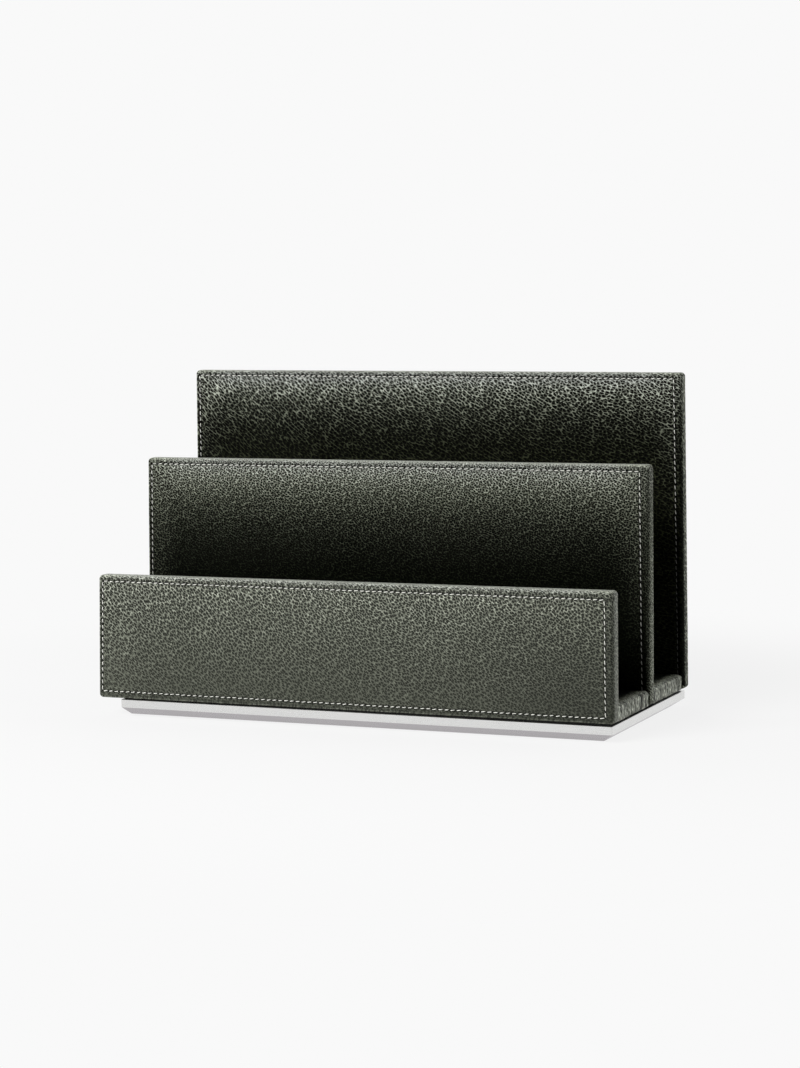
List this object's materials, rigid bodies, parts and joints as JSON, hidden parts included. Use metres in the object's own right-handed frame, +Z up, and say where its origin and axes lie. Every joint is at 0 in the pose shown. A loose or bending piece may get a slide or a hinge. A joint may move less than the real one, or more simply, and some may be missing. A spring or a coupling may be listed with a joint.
{
  "type": "envelope sorter",
  "caption": "Stepped desk envelope sorter: upright leather-wrapped panels with open-ended compartments between them, on a bevelled metal base plate with felt beneath.",
  "frame": {"origin": "on the desk, under the middle of the leather body", "axes": "+X along the panels, +Y from the low front panel to the tall rear panel, +Z up"},
  "size_m": [0.25, 0.1128, 0.1563],
  "materials": {
    "leather": "pebbled full grain, semi-gloss, dark olive green",
    "base_metal": "fine satin",
    "steel": "plain zinc plated",
    "felt": "pressed wool felt",
    "fibreboard": "raw fibreboard",
    "plywood": "raw birch plywood",
    "black_board": "dyed black, matt",
    "thread": "waxed cream thread"
  },
  "bodies": {
    "root": {"base_plate": "base_metal", "base_felt": "felt", "spacer_board": "black_board", "base_screws": "steel", "front_panel_board": "fibreboard", "front_panel_cover": "leather", "front_panel_lining": "leather", "front_joint_tongues": "plywood", "middle_panel_board": "fibreboard", "middle_panel_cover": "leather", "middle_panel_lining": "leather", "middle_joint_tongues": "plywood", "rear_panel_board": "fibreboard", "rear_panel_cover": "leather", "rear_panel_lining": "leather", "rear_joint_tongues": "plywood", "front_floor_board": "fibreboard", "front_floor_cover": "leather", "rear_floor_board": "fibreboard", "rear_floor_cover": "leather"}
  },
  "joints": []
}
